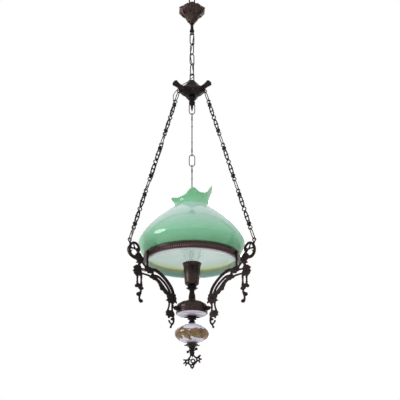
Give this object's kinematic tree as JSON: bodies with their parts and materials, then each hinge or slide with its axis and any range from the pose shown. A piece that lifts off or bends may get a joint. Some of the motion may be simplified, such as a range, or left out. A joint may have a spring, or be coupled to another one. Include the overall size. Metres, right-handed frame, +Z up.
{
  "type": "pendant lamp",
  "caption": "Hanging lamp: fluted canopy, link chain, lobed crown, ornate side chains, pierced scroll arms, ring with crimped glass shade, bulb in a cup, porcelain column and drop finial.",
  "frame": {"origin": "where the hanging loop bears on the ceiling hook, on the lamp's axis", "axes": "+Z up along the lamp's axis, -Y towards the side seen in the picture, with the left arm at 210 degrees and the back arm at 90 degrees round +Z"},
  "size_m": [0.3491, 0.3515, 1.1899],
  "materials": {
    "dark_cast": "near-black patina on cast metal, satin",
    "bronze": "dark red-brown bronzed, satin",
    "steel": "dull grey wire",
    "contact_brass": "bright sheet brass",
    "white_porcelain": "glazed white",
    "painted_porcelain": "glazed, hand-painted flowers and leaves",
    "opal_glass": "green opal glass, glossy",
    "clear_glass": "clear",
    "holder_ceramic": "unglazed",
    "lead_sleeve": "dark twisted flex"
  },
  "bodies": {
    "hanger": {"hanging_loop": "dark_cast", "stem_tube": "dark_cast", "stem_eye": "dark_cast", "centre_link_1": "dark_cast"},
    "canopy": {"canopy": "bronze"},
    "canopy_screw": {"canopy_thumb_screw": "dark_cast"},
    "link_2": {"centre_link_2": "dark_cast"},
    "link_3": {"centre_link_3": "dark_cast"},
    "link_4": {"centre_link_4": "dark_cast"},
    "crown": {"crown_loop": "dark_cast", "crown_body": "bronze", "crown_finial": "dark_cast", "lead_centre": "lead_sleeve"},
    "chain_left": {"chain_left_wire_1": "steel", "chain_left_ornate_1": "dark_cast", "chain_left_wire_2": "steel", "chain_left_ornate_2": "dark_cast", "chain_left_wire_3": "steel", "chain_left_ornate_3": "dark_cast", "chain_left_wire_4": "steel", "lead_side": "lead_sleeve"},
    "chain_right": {"chain_right_wire_1": "steel", "chain_right_ornate_1": "dark_cast", "chain_right_wire_2": "steel", "chain_right_ornate_2": "dark_cast", "chain_right_wire_3": "steel", "chain_right_ornate_3": "dark_cast", "chain_right_wire_4": "steel"},
    "chain_back": {"chain_back_wire_1": "steel", "chain_back_ornate_1": "dark_cast", "chain_back_wire_2": "steel", "chain_back_ornate_2": "dark_cast", "chain_back_wire_3": "steel", "chain_back_ornate_3": "dark_cast", "chain_back_wire_4": "steel"},
    "frame": {"arm_left": "dark_cast", "arm_right": "dark_cast", "arm_back": "dark_cast", "ring_screw_left": "steel", "ring_screw_right": "steel", "ring_screw_back": "steel", "gallery_ring": "bronze", "socket_cup": "bronze", "holder_body": "holder_ceramic", "holder_screw_shell": "contact_brass", "holder_contact": "contact_brass", "leaf_collar": "dark_cast", "column_stem": "dark_cast", "dish_cap": "bronze", "porcelain_dish": "white_porcelain", "neck_spindle": "dark_cast", "porcelain_ball": "painted_porcelain", "leaf_cup": "bronze", "drop_finial": "dark_cast", "tie_rod": "steel", "lead_arm": "lead_sleeve"},
    "shade": {"shade_glass": "opal_glass"},
    "bulb": {"bulb_cap": "contact_brass", "bulb_glass": "clear_glass", "bulb_mount": "clear_glass"}
  },
  "joints": [
    {"name": "link_2_swing", "type": "hinge", "parent": "hanger", "child": "link_2", "pos_m": [0, 0, -0.1828], "axis": [0.788, 0.6157, 0], "range_deg": [-15, 15]},
    {"name": "link_3_swing", "type": "hinge", "parent": "link_2", "child": "link_3", "pos_m": [0, 0, -0.2187], "axis": [-0.6157, 0.788, 0], "range_deg": [-15, 15]},
    {"name": "link_4_swing", "type": "hinge", "parent": "link_3", "child": "link_4", "pos_m": [0, 0, -0.2546], "axis": [0.788, 0.6157, 0], "range_deg": [-15, 15]},
    {"name": "crown_swing", "type": "hinge", "parent": "link_4", "child": "crown", "pos_m": [0, 0, -0.2905], "axis": [-0.6157, 0.788, 0], "range_deg": [-15, 15], "deforming": ["lead_centre"]},
    {"name": "frame_twist", "type": "hinge", "parent": "crown", "child": "frame", "pos_m": [0, 0, -0.89054], "axis": [0, 0, 1], "range_deg": [-6, 6], "stiffness_Nm_per_rad": 0.6},
    {"name": "chain_left_lean", "type": "hinge", "parent": "crown", "child": "chain_left", "pos_m": [-0.0394, -0.02275, -0.3597], "axis": [-0.866, -0.5, 0], "range_deg": [-2.4, 2.4], "deforming": ["lead_side"]},
    {"name": "chain_right_lean", "type": "hinge", "parent": "crown", "child": "chain_right", "pos_m": [0.0394, -0.02275, -0.3597], "axis": [0.866, -0.5, 0], "range_deg": [-2.4, 2.4]},
    {"name": "chain_back_lean", "type": "hinge", "parent": "crown", "child": "chain_back", "pos_m": [0, 0.0455, -0.3597], "axis": [0, 1, 0], "range_deg": [-2.4, 2.4]},
    {"name": "canopy_slide", "type": "slide", "parent": "hanger", "child": "canopy", "axis": [0, 0, 1], "range_m": [-0.018, 0.055]},
    {"name": "canopy_screw_turn", "type": "hinge", "parent": "canopy", "child": "canopy_screw", "pos_m": [-0.00983, -0.00688, -0.1054], "axis": [-0.8192, -0.5736, 0], "range_deg": [0, 540]},
    {"name": "shade_lift", "type": "slide", "parent": "frame", "child": "shade", "axis": [0, 0, 1], "range_m": [0, 0.05]},
    {"name": "bulb_lift", "type": "slide", "parent": "frame", "child": "bulb", "axis": [0, 0, 1], "range_m": [0, 0.028]}
  ],
  "couplings": [
    {"joint": "chain_left_lean", "follows": "frame_twist", "ratio": 0.3913},
    {"joint": "chain_right_lean", "follows": "frame_twist", "ratio": 0.3913},
    {"joint": "chain_back_lean", "follows": "frame_twist", "ratio": 0.3913}
  ]
}
